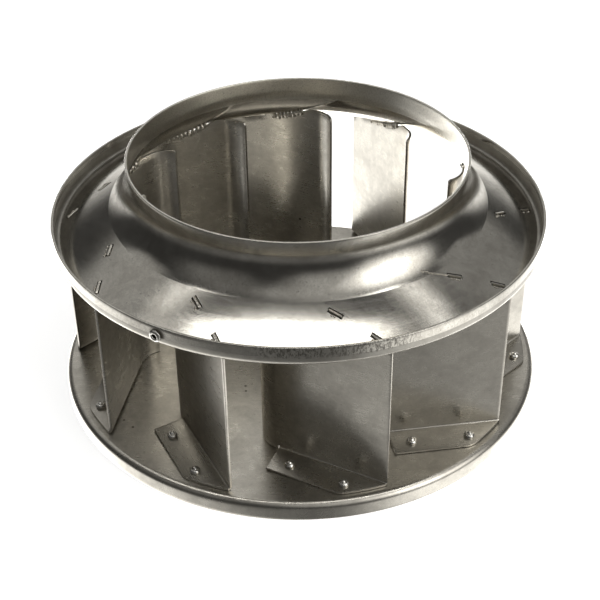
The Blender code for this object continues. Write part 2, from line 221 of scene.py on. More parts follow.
def spun_steel(colours):
    """Spun sheet steel, bare: a roller has left fine rings, so highlights stretch across them, handling has
    left cloudy stains and slanting dull smears, grime is pressed into the lip's outer face, a painted shadow
    darkens the lip beside the balance rivet, and the bend inside the lip is darker and duller."""
    material, tree, shader, coords = new_metal("spun_sheet_steel", colours.sheet, 0.17, 0.3)
    place = coords.outputs["Object"]
    axes = add_node(tree, "ShaderNodeSeparateXYZ", {0: place})
    flat = add_node(tree, "ShaderNodeCombineXYZ", {0: axes.outputs[0], 1: axes.outputs[1]})
    radius = add_node(tree, "ShaderNodeVectorMath", {0: flat.outputs[0]}, operation="LENGTH")
    round_dir = add_node(tree, "ShaderNodeVectorMath", {0: flat.outputs[0]}, operation="NORMALIZE")
    tangent = add_node(tree, "ShaderNodeVectorMath", {0: (0.0, 0.0, 1.0), 1: round_dir.outputs[0]},
                       operation="CROSS_PRODUCT")
    tree.links.new(tangent.outputs[0], shader.inputs["Tangent"])
    # Rings about 1 mm apart: radius and height run fast, the way round runs slowly
    around = add_node(tree, "ShaderNodeVectorMath", {0: round_dir.outputs[0], "Scale": 0.9}, operation="SCALE")
    around_axes = add_node(tree, "ShaderNodeSeparateXYZ", {0: around.outputs[0]})
    rise = product(tree, radius.outputs["Value"], axes.outputs[2], "SUBTRACT")
    fast = product(tree, rise, 1.0 / (1.0 * MM))
    ring_place = add_node(tree, "ShaderNodeCombineXYZ",
                          {0: fast, 1: around_axes.outputs[0], 2: around_axes.outputs[1]})
    rings = cloud(tree, ring_place.outputs[0], 1.0)
    # Cloudy stains some 30 mm across, and fine scratches drawn out slantwise by handling
    clouds = cloud(tree, place, 24.0 * MM, 8.0, 0.74, 0.2)
    slant = add_node(tree, "ShaderNodeVectorRotate", {"Vector": place, "Angle": math.radians(48.0)},
                     rotation_type="Z_AXIS").outputs[0]
    smears = cloud(tree, slant, (30.0 * MM, 1.6 * MM, 12.0 * MM), 4.0, 0.7)
    grit = cloud(tree, place, 0.9 * MM, 3.0, 0.75)
    tint = blend(tree, share_of(tree, clouds, 0.3, 0.66), colours.stain, colours.sheet)
    # The throat's inner face has a lighter colour of its own and is duller than the outside
    inner = share_of(tree, radius.outputs["Value"], 104.0 * MM, 104.4 * MM, 1.0, 0.0)
    tint = blend(tree, inner, tint, colours.inner)
    tint = blend(tree, share_of(tree, grit, 0.4, 0.66, 0.0, 0.4), tint, colours.stain)
    pits = share_of(tree, cloud(tree, place, 1.3 * MM, 3.0, 0.6), 0.63, 0.72, 0.0, 0.45)
    # Grime on the outer face of the lip: short upright smudges, thick along the front and thin elsewhere
    face = product(tree, share_of(tree, radius.outputs["Value"], 151.9 * MM, 152.3 * MM),
                   share_of(tree, axes.outputs[2], 113.6 * MM, 116.0 * MM))
    smudge = share_of(tree, cloud(tree, place, (1.2 * MM, 1.2 * MM, 2.6 * MM), 4.0, 0.75), 0.42, 0.6)
    away = add_node(tree, "ShaderNodeVectorMath", {0: place, 1: GRIME_PLACE}, operation="DISTANCE").outputs["Value"]
    thick = share_of(tree, away, 0.6 * GRIME_REACH, GRIME_REACH, 0.75, 0.1)
    # Painted shadow: a patch of the lip beside the balance rivet is darkened, where the rivet's head shades it
    rivet_shadow = specks(tree, place, [(tuple(from_axis(*BALANCE_SHADE)), 6.4 * MM)])
    grime_and_shade = product(tree, face, product(tree, product(tree, smudge, thick), rivet_shadow, "MAXIMUM"))
    # Darker and duller in the bend inside the lip
    in_lip_bend = product(tree, share_of(tree, radius.outputs["Value"], 146.5 * MM, 149.5 * MM),
                   share_of(tree, axes.outputs[2], 117.0 * MM, 120.0 * MM, 1.0, 0.0))
    in_lip_bend = product(tree, in_lip_bend, product(tree, face, 1.0, "LESS_THAN"))
    # The colour darkens for grime, pits and the bend inside the lip, and under the painted shadow beside the rivet
    dirt_and_shade = product(tree, product(tree, grime_and_shade, product(tree, in_lip_bend, 0.35), "MAXIMUM"), pits, "MAXIMUM")
    tree.links.new(blend(tree, dirt_and_shade, tint, colours.grime_and_shade), shader.inputs["Base Color"])
    mixed = product(tree, product(tree, clouds, rings, "ADD"), smears, "ADD")
    rough = share_of(tree, mixed, 1.0, 2.0, 0.2, 0.13)
    dull = product(tree, product(tree, grime_and_shade, 0.25), product(tree, in_lip_bend, 0.2), "MAXIMUM")
    dull = product(tree, product(tree, inner, 0.14), dull, "MAXIMUM")
    tree.links.new(product(tree, rough, dull, "ADD"), shader.inputs["Roughness"])
    relief = product(tree, product(tree, rings, 1.3), product(tree, grit, 2.2), "ADD")
    bump = add_node(tree, "ShaderNodeBump", {"Strength": 0.2, "Distance": 0.02 * MM, "Height": relief})
    tree.links.new(bump.outputs[0], shader.inputs["Normal"])
    return material


def rolled_steel(name, colours, base, grain_source, spots):
    """Cold-rolled sheet steel, bare: a soft sheen with faint grain along the rolling direction, mottled where
    it was handled, with a few dark specks."""
    material, tree, shader, coords = new_metal(name, base, 0.24)
    place = coords.outputs["Object"]
    clouds = cloud(tree, place, 22.0 * MM, 5.0, 0.6, 0.5)
    mottle = cloud(tree, place, (6.0 * MM, 6.0 * MM, 5.0 * MM), 6.0, 0.7, 0.2)
    tint = blend(tree, share_of(tree, product(tree, clouds, mottle, "ADD"), 0.6, 1.25), colours.stain, base)
    grit = cloud(tree, place, 1.0 * MM, 3.0, 0.75)
    tint = blend(tree, share_of(tree, grit, 0.42, 0.68, 0.0, 0.35), tint, colours.stain)
    pits = share_of(tree, cloud(tree, place, 1.4 * MM, 2.0, 0.5), 0.68, 0.76, 0.0, 0.4)
    spot = product(tree, specks(tree, place, spots), pits, "MAXIMUM")
    tree.links.new(blend(tree, product(tree, spot, 0.85), tint, colours.grime_and_shade), shader.inputs["Base Color"])
    # Rolling grain 0.6 mm wide and 25 mm long
    grain = cloud(tree, coords.outputs[grain_source], (25.0 * MM, 0.6 * MM, 1.0), 3.0)
    mixed = product(tree, product(tree, clouds, mottle, "ADD"), grain, "ADD")
    rough = share_of(tree, mixed, 1.0, 2.0, 0.33, 0.25)
    tree.links.new(product(tree, rough, product(tree, spot, 0.2), "ADD"), shader.inputs["Roughness"])
    relief = product(tree, product(tree, grain, 0.12), mottle, "ADD")
    relief = product(tree, product(tree, grit, 0.35), relief, "ADD")
    bump = add_node(tree, "ShaderNodeBump", {"Strength": 0.014, "Distance": 0.05 * MM, "Height": relief})
    tree.links.new(bump.outputs[0], shader.inputs["Normal"])
    return material


def plated_steel(colours):
    """Zinc-plated steel of blind rivets: brighter and smoother than the sheet, with small dents from setting."""
    material, tree, shader, coords = new_metal("zinc_plated_steel", colours.rivet, 0.2)
    dents = add_node(tree, "ShaderNodeTexNoise", {"Vector": coords.outputs["Object"], "Scale": 1.0 / (1.1 * MM),
                                                  "Detail": 2.0})
    bump = add_node(tree, "ShaderNodeBump", {"Strength": 0.8, "Distance": 0.25 * MM, "Height": dents.outputs["Fac"]})
    tree.links.new(bump.outputs[0], shader.inputs["Normal"])
    rough = add_node(tree, "ShaderNodeMapRange", {"Value": dents.outputs["Fac"], "To Min": 0.12, "To Max": 0.32})
    tree.links.new(rough.outputs[0], shader.inputs["Roughness"])
    return material


def turned_steel(colours):
    """Lathe-turned steel of the hub: fine tool marks round the axis, a little duller than the sheet."""
    material, tree, shader, coords = new_metal("turned_steel", colours.hub, 0.3, 0.3)
    axes = add_node(tree, "ShaderNodeSeparateXYZ", {0: coords.outputs["Object"]})
    flat = add_node(tree, "ShaderNodeCombineXYZ", {0: axes.outputs[0], 1: axes.outputs[1]})
    radius = add_node(tree, "ShaderNodeVectorMath", {0: flat.outputs[0]}, operation="LENGTH")
    rise = add_node(tree, "ShaderNodeMath", {0: radius.outputs["Value"], 1: axes.outputs[2]}, operation="ADD")
    # Tool marks 0.4 mm apart
    marks = add_node(tree, "ShaderNodeTexNoise", {"W": rise.outputs[0], "Scale": 1.0 / (0.4 * MM), "Detail": 2.0},
                     noise_dimensions="1D")
    bump = add_node(tree, "ShaderNodeBump", {"Strength": 0.4, "Distance": 0.03 * MM, "Height": marks.outputs["Fac"]})
    tree.links.new(bump.outputs[0], shader.inputs["Normal"])
    rough = add_node(tree, "ShaderNodeMapRange", {"Value": marks.outputs["Fac"], "To Min": 0.24, "To Max": 0.4})
    tree.links.new(rough.outputs[0], shader.inputs["Roughness"])
    return material


def weld_steel(colours):
    """Arc-welded steel: small frozen ripples, brown heat tint in places and bright where the bead is clean."""
    material, tree, shader, coords = new_metal("welded_steel", colours.weld, 0.3)
    ripple = add_node(tree, "ShaderNodeTexNoise", {"Vector": coords.outputs["Object"], "Scale": 1.0 / (0.8 * MM),
                                                   "Detail": 3.0})
    tint = add_node(tree, "ShaderNodeMix", {0: ripple.outputs["Fac"], 6: colours.heat, 7: colours.weld},
                    data_type="RGBA")
    tree.links.new(tint.outputs[2], shader.inputs["Base Color"])
    bump = add_node(tree, "ShaderNodeBump", {"Strength": 0.6, "Distance": 0.2 * MM, "Height": ripple.outputs["Fac"]})
    tree.links.new(bump.outputs[0], shader.inputs["Normal"])
    return material


def painted_shade_steel(colours):
    """Painted shade: a dark steel for the walls of the tabs' slots and the balance rivet's hollow, so the slots read
    as dark outlines and the hollow reads dark.
    """
    return new_metal("painted_shade_steel", colours.grime_and_shade, 0.6)[0]


def metal(name, make, *inputs):
    """The named material, made the first time it is asked for."""
    return bpy.data.materials.get(name) or make(*inputs)


# ---------------------------------------------------------------- shapes

def from_axis(radius, azimuth, height=0.0):
    """A point at a radius and an azimuth from the front."""
    return Vector((radius * math.sin(azimuth), -radius * math.cos(azimuth), height))


def arc(center, radius, start, end, count):
    """Points of an arc in the profile plane, from the start angle to the end angle."""
    angles = [start + (end - start) * index / count for index in range(count + 1)]
    return [(center[0] + radius * math.cos(angle), center[1] + radius * math.sin(angle)) for angle in angles]


def stretch(start, end, count):
    """Evenly spaced points of a straight run in the profile plane, without its first."""
    (r0, z0), (r1, z1) = start, end
    return [(r0 + (r1 - r0) * step / count, z0 + (z1 - z0) * step / count) for step in range(1, count + 1)]


def turned_shape(points, steps, closed=False):
    """A profile of radius and height pairs, spun once round the Z axis."""
    shape = bmesh.new()
    verts = [shape.verts.new((radius, 0.0, height)) for radius, height in points]
    pairs = zip(verts, verts[1:] + verts[:1]) if closed else zip(verts, verts[1:])
    edges = [shape.edges.new(pair) for pair in pairs]
    bmesh.ops.spin(shape, geom=verts + edges, cent=(0, 0, 0), axis=(0, 0, 1), dvec=(0, 0, 0),
                   angle=math.tau, steps=steps, use_merge=True, use_duplicate=False)
    bmesh.ops.remove_doubles(shape, verts=shape.verts, dist=0.001 * MM)
    bmesh.ops.recalc_face_normals(shape, faces=shape.faces)
    return shape


def face_up(shape):
    """Turns an open sheet over if its widest faces look down."""
    if sum(face.normal.z * face.calc_area() for face in shape.faces) < 0:
        bmesh.ops.reverse_faces(shape, faces=shape.faces)


def thicken(shape, thickness):
    """Gives an open sheet its wall, on the side its faces look away from."""
    bmesh.ops.solidify(shape, geom=shape.faces[:], thickness=thickness)


def soften_rims(shape, width, segments, least_angle=math.radians(50.0)):
    """Rounds the sheared edges of a sheet."""
    edges = [edge for edge in shape.edges if edge.is_manifold and edge.calc_face_angle(0.0) > least_angle]
    bmesh.ops.bevel(shape, geom=edges, offset=width, offset_type="OFFSET", segments=segments, profile=0.5,
                    affect="EDGES", clamp_overlap=True, material=-1)


def finish_piece(name, shape, material, slot, *nodes, sharp=math.radians(38.0)):
    """A bmesh as a finished piece that rides on the wheel and stands for its CAD nodes."""
    mesh = bpy.data.meshes.new(name)
    shape.to_mesh(mesh)
    shape.free()
    mesh.shade_smooth()
    mesh.set_sharp_from_angle(angle=sharp)
    mesh.materials.append(material)
    piece = bpy.data.objects.new(name, mesh)
    bpy.context.scene.collection.objects.link(piece)
    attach(piece, "root")
    if nodes:
        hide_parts(*nodes)
    return piece


def chord_direction():
    return Vector((math.cos(CHORD_ANGLE), math.sin(CHORD_ANGLE)))


def chord_outward():
    """The unit vector square to the chord, away from the axis."""
    return Vector((math.sin(CHORD_ANGLE), -math.cos(CHORD_ANGLE)))


def chord_point(along, outward=0.0):
    return CHORD_START + along * chord_direction() + outward * chord_outward()


def blade_point(along):
    """The blade's middle line in plan and its outward direction: nose arc before the chord's start."""
    if along >= 0.0:
        return chord_point(along), chord_outward()
    outward = Matrix.Rotation(along / NOSE_RADIUS, 2) @ chord_outward()
    return chord_point(0.0, -NOSE_RADIUS) + NOSE_RADIUS * outward, outward


def smooth(share):
    """An even start and stop between 0 and 1."""
    share = max(0.0, min(1.0, share))
    return share * share * (3.0 - 2.0 * share)


def shroud_crown(radius):
    """How far the flange stands above a true cone: a slight crown outside the ridge that ends the flare."""
    if radius < CROWN_TOP:
        inside = (CROWN_TOP - radius) / (CROWN_TOP - RIDGE_RADIUS)
        return CROWN_HEIGHT - (CROWN_HEIGHT - RIDGE_CROWN) * inside ** 2
    return CROWN_HEIGHT * smooth((CROWN_END - radius) / (CROWN_END - CROWN_TOP))


def shroud_height(radius, depth):
    """Height of the shroud's sheet at a radius, a depth below its inlet-side face."""
    sizes = bpy.context.scene.wheel_sizes
    center = sizes.throat_radius + FLARE_RADIUS
    bend = FLARE_RADIUS + depth
    if radius <= sizes.throat_radius - depth:
        return sizes.height
    if radius < RIDGE_RADIUS:
        return NECK_END - math.sqrt(bend ** 2 - (center - radius) ** 2)
    cone = FLANGE_HEIGHT - (radius - FLANGE_RADIUS) * math.tan(FLANGE_SLOPE) - depth / math.cos(FLANGE_SLOPE)
    return cone + shroud_crown(radius)


def blade_azimuths():
    count = bpy.context.scene.wheel_sizes.blade_count
    return [math.tau * index / count for index in range(count)]


def wobble(place, width, depth):
    """A smooth dent field: how far sheet metal stands off true at a place."""
    return depth * noise.noise(place / width)


# ---------------------------------------------------------------- pieces

def shroud_profile(sizes):
    """The inlet-side face: throat, flare, a ridge, the slightly crowned flange and the turned-up lip."""
    center = (sizes.throat_radius + FLARE_RADIUS, NECK_END)
    flare_end = math.pi + math.acos((center[0] - RIDGE_RADIUS) / FLARE_RADIUS)
    points = [(sizes.throat_radius, sizes.height)]
    points += stretch(points[-1], (sizes.throat_radius, center[1]), 5)
    points += arc(center, FLARE_RADIUS, math.pi, flare_end, 36)[1:]
    bend_start = math.radians(270.0) - FLANGE_SLOPE
    bend_radius = sizes.shroud_radius - sizes.sheet - SHROUD_BEND
    bend_height = shroud_height(bend_radius, 0.0) + SHROUD_BEND / math.cos(FLANGE_SLOPE)
    bend = arc((bend_radius, bend_height), SHROUD_BEND, bend_start, math.tau, 8)
    points += [(radius, shroud_height(radius, 0.0))
               for radius, _ in stretch((RIDGE_RADIUS, 0.0), (bend[0][0], 0.0), 36)]
    points += bend[1:]
    points += stretch(points[-1], (sizes.shroud_radius - sizes.sheet, SHROUD_LIP_TOP), 4)
    return points


def tab_box(along, sizes):
    """The closed box of one tab's slot in the shroud of the first blade."""
    place = chord_point(along)
    top = shroud_height(place.length, 0.0)
    shear = Matrix.Identity(4)
    shear[2][0] = -math.tan(FLANGE_SLOPE) * chord_direction().dot(place.normalized())
    matrix = Matrix.Translation((*place, top)) @ Matrix.Rotation(CHORD_ANGLE, 4, "Z") @ shear
    size = Matrix.Diagonal((TAB_LENGTH + 2 * SLOT_END, sizes.sheet + 2 * SLOT_SIDE, 12.0 * MM, 1.0))
    return matrix @ size


def cut_away(piece, cutter_shape, material=None):
    """Takes a closed cutter out of a piece's mesh; the cut faces can have a material of their own."""
    cutter_mesh = bpy.data.meshes.new("cutter")
    cutter_shape.to_mesh(cutter_mesh)
    cutter_shape.free()
    if material:
        cutter_mesh.materials.append(material)
    cutter = bpy.data.objects.new("cutter", cutter_mesh)
    bpy.context.scene.collection.objects.link(cutter)
    boolean = piece.modifiers.new("cut", "BOOLEAN")
    boolean.operation = "DIFFERENCE"
    boolean.solver = "EXACT"
    boolean.object = cutter
    boolean.material_mode = "TRANSFER" if material else "INDEX"
    depsgraph = bpy.context.evaluated_depsgraph_get()
    mesh = bpy.data.meshes.new_from_object(piece.evaluated_get(depsgraph))
    piece.modifiers.clear()
    bpy.data.objects.remove(cutter, do_unlink=True)
    piece.data = mesh


class WHEEL_OT_shroud(bpy.types.Operator):
    """Spin the inlet shroud and cut the slots for the blades' tabs"""
    bl_idname = "wheel.shroud"
    bl_label = "Spun Shroud"

    def execute(self, context):
        sizes, colours = context.scene.wheel_sizes, context.scene.wheel_colours
        shape = turned_shape(shroud_profile(sizes), sizes.turn_steps)
        face_up(shape)
        thicken(shape, sizes.sheet)
        soften_rims(shape, 0.35 * MM, 3)
        piece = finish_piece("spun_shroud", shape, metal("spun_sheet_steel", spun_steel, colours),
                             "shroud_sheet", "front_shroud")
        cutter = bmesh.new()
        for azimuth in blade_azimuths():
            for along in TAB_PLACES:
                matrix = Matrix.Rotation(azimuth, 4, "Z") @ tab_box(along, sizes)
                bmesh.ops.create_cube(cutter, size=1.0, matrix=matrix)
        lip = (Matrix.Rotation(BALANCE_AZIMUTH, 4, "Z")
               @ Matrix.Translation((0.0, -sizes.shroud_radius, BALANCE_HEIGHT))
               @ Matrix.Rotation(math.pi / 2, 4, "X"))
        bmesh.ops.create_cone(cutter, cap_ends=True, segments=32, radius1=2.6 * MM, radius2=2.6 * MM,
                              depth=9.0 * MM, matrix=lip)
        # Painted shade: the cut walls of the slots and of the rivet's hole take the dark steel
        cut_away(piece, cutter, metal("painted_shade_steel", painted_shade_steel, colours))
        piece.data.shade_smooth()
        piece.data.set_sharp_from_angle(angle=math.radians(38.0))
        # The ridge is a crease, though a shallow one
        on_ridge = [abs(vert.co.xy.length - RIDGE_RADIUS) < 0.01 * MM for vert in piece.data.vertices]
        for edge in piece.data.edges:
            if on_ridge[edge.vertices[0]] and on_ridge[edge.vertices[1]]:
                edge.use_edge_sharp = True
        return {"FINISHED"}


class WHEEL_OT_backplate(bpy.types.Operator):
    """Spin the flat backplate with its bend and turned-down lip"""
    bl_idname = "wheel.backplate"
    bl_label = "Backplate"

    def execute(self, context):
        sizes, colours = context.scene.wheel_sizes, context.scene.wheel_colours
        bend_radius = sizes.plate_radius - PLATE_BEND
        points = [(HUB_SPIGOT + GAP, PLATE_TOP)]
        points += stretch(points[-1], (bend_radius, PLATE_TOP), 12)
        points += arc((bend_radius, PLATE_TOP - PLATE_BEND), PLATE_BEND, math.pi / 2, 0.0, 12)[1:]
        points += stretch(points[-1], (sizes.plate_radius, 0.0), 4)
        shape = turned_shape(points, sizes.turn_steps)
        face_up(shape)
        thicken(shape, sizes.sheet)
        soften_rims(shape, 0.3 * MM, 3)
        finish_piece("flanged_backplate", shape,
                     metal("rolled_plate_steel", rolled_steel, "rolled_plate_steel", colours, colours.plate, "Object",
                           [((x * MM, y * MM, PLATE_TOP), radius * MM) for x, y, radius in PLATE_SPECKS]),
                     "backplate_sheet", "backplate")
        return {"FINISHED"}


def blade_stations():
    """Distances along the blade: nose arc, under the flare, and on to the tip with the tabs' ends exact."""
    nose_length = NOSE_RADIUS * NOSE_TURN
    half = TAB_LENGTH / 2
    runs = [(0.0, 14), (20.0 * MM, 14)]
    for place in TAB_PLACES:
        runs += [(place - half, 5), (place + half, 4)]
    runs.append((CHORD_LENGTH, 3))
    stations = [-nose_length]
    for end, count in runs:
        start = stations[-1]
        stations += [start + (end - start) * step / count for step in range(1, count + 1)]
    return stations


def blade_top(along, sizes):
    """Height of the blade's upper edge: level at the nose, then just under the shroud."""
    point, outward = blade_point(along)
    radius = (point + outward * sizes.sheet / 2).length
    height = min(NOSE_TOP, shroud_height(radius, sizes.sheet) - GAP)
    from_nose = along + NOSE_RADIUS * NOSE_TURN
    if from_nose < NOSE_CORNER:
        height -= NOSE_CORNER - math.sqrt(NOSE_CORNER ** 2 - (NOSE_CORNER - from_nose) ** 2)
    return height


def foot_reach(along):
    """How far the foot flange runs out from the blade: its full width, or less where the rim cuts it."""
    start, outward = chord_point(along), chord_outward()
    middle = start.dot(outward)
    to_rim = -middle + math.sqrt(middle ** 2 - start.length_squared + FOOT_RIM ** 2)
    return min(FOOT_WIDTH, to_rim)


def blade_shape(sizes, seed):
    """One blade in the first blade's place: wall, tabs and folded foot flange as one bent sheet."""
    rows = 24
    fold = 1.75 * MM
    foot = PLATE_TOP + GAP + sizes.sheet / 2
    stations = blade_stations()
    columns = len(stations) - 1
    shape = bmesh.new()
    bmesh.ops.create_grid(shape, x_segments=columns, y_segments=rows, size=0.5)
    places = {}
    for vert in shape.verts:
        column = round((vert.co.x + 0.5) * columns)
        row = (vert.co.y + 0.5)
        along = stations[column]
        point, outward = blade_point(along)
        height = foot + fold + row * (blade_top(along, sizes) - foot - fold)
        stand = wobble(Vector((along, height, seed)), 34.0 * MM, 0.16 * MM)
        stand *= min(1.0, 4.0 * row * (1.0 - row) + 0.25)
        vert.co = (*(point + stand * outward), height)
        places[vert] = (along, row)
    # Tabs: the upper edges between their ends, drawn up through the shroud
    for tab in TAB_PLACES:
        low, high = tab - 0.51 * TAB_LENGTH, tab + 0.51 * TAB_LENGTH
        edges = [edge for edge in shape.edges
                 if all(vert in places and places[vert][1] > 0.999 and low < places[vert][0] < high
                        for vert in edge.verts)]
        raised = bmesh.ops.extrude_edge_only(shape, edges=edges)["geom"]
        for vert in [item for item in raised if isinstance(item, bmesh.types.BMVert)]:
            vert.co.z = shroud_height(vert.co.xy.length, 0.0) + TAB_STAND
    # Nose: straight down to the plate
    nose = [edge for edge in shape.edges
            if all(vert in places and places[vert][1] < 0.001 and places[vert][0] < 0.01 * MM for vert in edge.verts)]
    lowered = bmesh.ops.extrude_edge_only(shape, edges=nose)["geom"]
    for vert in [item for item in lowered if isinstance(item, bmesh.types.BMVert)]:
        vert.co.z = PLATE_TOP + GAP
    # Foot: a quarter turn outwards, then flat to the rim
    folded = [edge for edge in shape.edges
              if all(vert in places and places[vert][1] < 0.001 and places[vert][0] > 0.9 * MM for vert in edge.verts)]
    axis = Vector((*chord_direction(), 0.0))
    center = Vector((*chord_point(0.0, fold), foot + fold))
    ends = {vert for edge in folded for vert in edge.verts}
    turned = bmesh.ops.spin(shape, geom=folded + list(ends), cent=center, axis=axis, dvec=(0, 0, 0),
                            angle=-math.pi / 2, steps=6, use_duplicate=False)["geom_last"]
    last = [item for item in turned if isinstance(item, bmesh.types.BMEdge)]
    spread = bmesh.ops.extrude_edge_only(shape, edges=last)["geom"]
    for vert in [item for item in spread if isinstance(item, bmesh.types.BMVert)]:
        along = (vert.co.xy - CHORD_START).dot(chord_direction())
        lean = FOOT_LEAN if along < 3.0 * MM else 0.0
        vert.co.xy = chord_point(along + lean, foot_reach(along))
    bmesh.ops.remove_doubles(shape, verts=shape.verts, dist=0.001 * MM)
    bmesh.ops.recalc_face_normals(shape, faces=shape.faces)
    half = [face for face in shape.faces if face.normal.xy.dot(chord_outward()) > 0.9]
    if len(half) < len(shape.faces) / 3:
        bmesh.ops.reverse_faces(shape, faces=shape.faces)
    return shape


def centre_wall(shape, sheet):
    """Gives a middle surface its wall, half on each side."""
    for vert, normal in [(vert, vert.normal.copy()) for vert in shape.verts]:
        vert.co += normal * sheet / 2 * vert.calc_shell_factor()
    thicken(shape, sheet)


def write_sheet_map(shape, seed):
    """A map in metres along the chord and up the wall, so that grain follows the rolled sheet."""
    layer = shape.loops.layers.uv.new("sheet")
    direction, outward = chord_direction(), chord_outward()
    for face in shape.faces:
        flat = abs(face.normal.z) > 0.7
        for loop in face.loops:
            place = loop.vert.co.xy
            across = -place.dot(outward) if flat else loop.vert.co.z
            loop[layer].uv = (place.dot(direction) + seed, across + 0.37 * seed)


def blade_speck(sizes, index, along, side, height, radius):
    """Centre and radius of a speck on one side of a blade."""
    turn = Matrix.Rotation(blade_azimuths()[index % sizes.blade_count], 3, "Z")
    spot = turn @ Vector((*chord_point(along * MM, side * sizes.sheet / 2), height * MM))
    return tuple(spot), radius * MM


class WHEEL_OT_blades(bpy.types.Operator):
    """Fold the ten blades, each with its nose, foot flange and tabs"""
    bl_idname = "wheel.blades"
    bl_label = "Folded Blades"

    def execute(self, context):
        sizes, colours = context.scene.wheel_sizes, context.scene.wheel_colours
        material = metal("rolled_blade_steel", rolled_steel, "rolled_blade_steel", colours, colours.blade, "UV",
                         [blade_speck(sizes, *speck) for speck in BLADE_SPECKS])
        for index, azimuth in enumerate(blade_azimuths()):
            shape = blade_shape(sizes, 0.31 * index)
            centre_wall(shape, sizes.sheet)
            soften_rims(shape, 0.22 * MM, 2)
            write_sheet_map(shape, 0.31 * index)
            bmesh.ops.rotate(shape, cent=(0, 0, 0), matrix=Matrix.Rotation(azimuth, 3, "Z"), verts=shape.verts)
            number = f"{index + 1:02d}"
            finish_piece(f"folded_blade_{number}", shape, material, "blade_sheet", f"blade_{number}")
        return {"FINISHED"}


def rivet_shape(grip_top, steps):
    """A set blind rivet on the Z axis: flat head under the plate, swollen body and pulled stem above."""
    head_top = PLATE_TOP - 1.5 * MM
    mm = MM
    profile = [
        (0.0, grip_top + 3.65 * mm), (0.75 * mm, grip_top + 3.55 * mm), (1.25 * mm, grip_top + 3.2 * mm),
        (1.35 * mm, grip_top + 2.75 * mm), (1.55 * mm, grip_top + 2.6 * mm), (1.95 * mm, grip_top + 2.75 * mm),
        (2.35 * mm, grip_top + 2.65 * mm), (2.75 * mm, grip_top + 2.3 * mm), (3.05 * mm, grip_top + 1.7 * mm),
        (3.1 * mm, grip_top + 1.1 * mm), (2.95 * mm, grip_top + 0.55 * mm), (2.6 * mm, grip_top + 0.15 * mm),
        (2.4 * mm, grip_top), (2.4 * mm, head_top), (4.45 * mm, head_top), (4.6 * mm, head_top - 0.2 * mm),
        (4.3 * mm, head_top - 0.7 * mm), (3.2 * mm, head_top - 1.1 * mm), (1.6 * mm, head_top - 1.3 * mm),
        (1.3 * mm, head_top - 0.9 * mm), (0.9 * mm, head_top - 0.5 * mm), (0.0, head_top - 0.45 * mm),
    ]
    return turned_shape(profile, steps)


def dent(shape, seed, width, depth):
    """Small dents over a whole shape, the same each time for one seed."""
    shape.normal_update()
    for vert in shape.verts:
        vert.co += vert.normal * wobble(vert.co + Vector((seed, 0.0, 0.0)), width, depth)


class WHEEL_OT_foot_rivets(bpy.types.Operator):
    """Set the two blind rivets in each blade's foot flange"""
    bl_idname = "wheel.foot_rivets"
    bl_label = "Foot Rivets"

    def execute(self, context):
        sizes, colours = context.scene.wheel_sizes, context.scene.wheel_colours
        material = metal("zinc_plated_steel", plated_steel, colours)
        for index, azimuth in enumerate(blade_azimuths()):
            for place, (along, across) in zip(("inner", "outer"), RIVET_PLACES):
                shape = rivet_shape(PLATE_TOP + GAP + sizes.sheet, 28)
                dent(shape, 0.173 * index + along, 2.4 * MM, 0.35 * MM)
                spot = Matrix.Rotation(azimuth, 3, "Z") @ Vector((*chord_point(along, across), 0.0))
                bmesh.ops.translate(shape, vec=spot, verts=shape.verts)
                number = f"{index + 1:02d}"
                finish_piece(f"foot_rivet_{number}_{place}", shape, material, "rivet_steel",
                             f"blade_{number}_rivet_{place}", sharp=math.radians(50.0))
        return {"FINISHED"}


class WHEEL_OT_balance_rivet(bpy.types.Operator):
    """Set the hollow balance rivet in the shroud's lip"""
    bl_idname = "wheel.balance_rivet"
    bl_label = "Balance Rivet"

    def execute(self, context):
        sizes, colours = context.scene.wheel_sizes, context.scene.wheel_colours
        outer = sizes.shroud_radius
        inner = outer - sizes.sheet
        mm = MM
        profile = [
            (0.0, outer - 3.9 * mm), (1.0 * mm, outer - 3.9 * mm), (1.4 * mm, outer - 3.5 * mm),
            (1.5 * mm, outer + 0.5 * mm), (1.8 * mm, outer + 1.1 * mm), (2.3 * mm, outer + 1.25 * mm),
            (3.1 * mm, outer + 0.95 * mm), (3.7 * mm, outer + 0.5 * mm), (3.8 * mm, outer + 0.2 * mm),
            (3.7 * mm, outer + 0.02 * mm), (2.4 * mm, outer + 0.02 * mm), (2.4 * mm, inner),
            (2.6 * mm, inner - 0.4 * mm), (2.6 * mm, inner - 1.9 * mm), (2.0 * mm, inner - 3.0 * mm),
            (1.2 * mm, inner - 3.4 * mm), (0.0, inner - 3.4 * mm),
        ]
        shape = turned_shape(profile, 40)
        dent(shape, 0.7, 3.0 * MM, 0.15 * MM)
        matrix = (Matrix.Rotation(BALANCE_AZIMUTH, 4, "Z") @ Matrix.Translation((0.0, 0.0, BALANCE_HEIGHT))
                  @ Matrix.Rotation(math.pi / 2, 4, "X"))
        bmesh.ops.transform(shape, matrix=matrix, verts=shape.verts)
        piece = finish_piece("lip_rivet", shape, metal("zinc_plated_steel", plated_steel, colours), "rivet_steel",
                             "balance_rivet", sharp=math.radians(50.0))
        # Painted shade: the faces inside the rivet's hollow mouth take the dark steel
        piece.data.materials.append(metal("painted_shade_steel", painted_shade_steel, colours))
        mouth = matrix @ Vector((0.0, 0.0, outer))
        axis = matrix.to_3x3() @ Vector((0.0, 0.0, 1.0))
        for face in piece.data.polygons:
            from_mouth = face.center - mouth
            aside = (from_mouth - from_mouth.dot(axis) * axis).length
            face.material_index = int(aside < 1.7 * MM and -4.5 * MM < from_mouth.dot(axis) < 0.5 * MM)
        return {"FINISHED"}


def hub_rivet_spots():
    azimuths = [math.tau * (index + 0.5) / HUB_RIVETS for index in range(HUB_RIVETS)]
    return [from_axis(HUB_RIVET_CIRCLE, azimuth) for azimuth in azimuths]


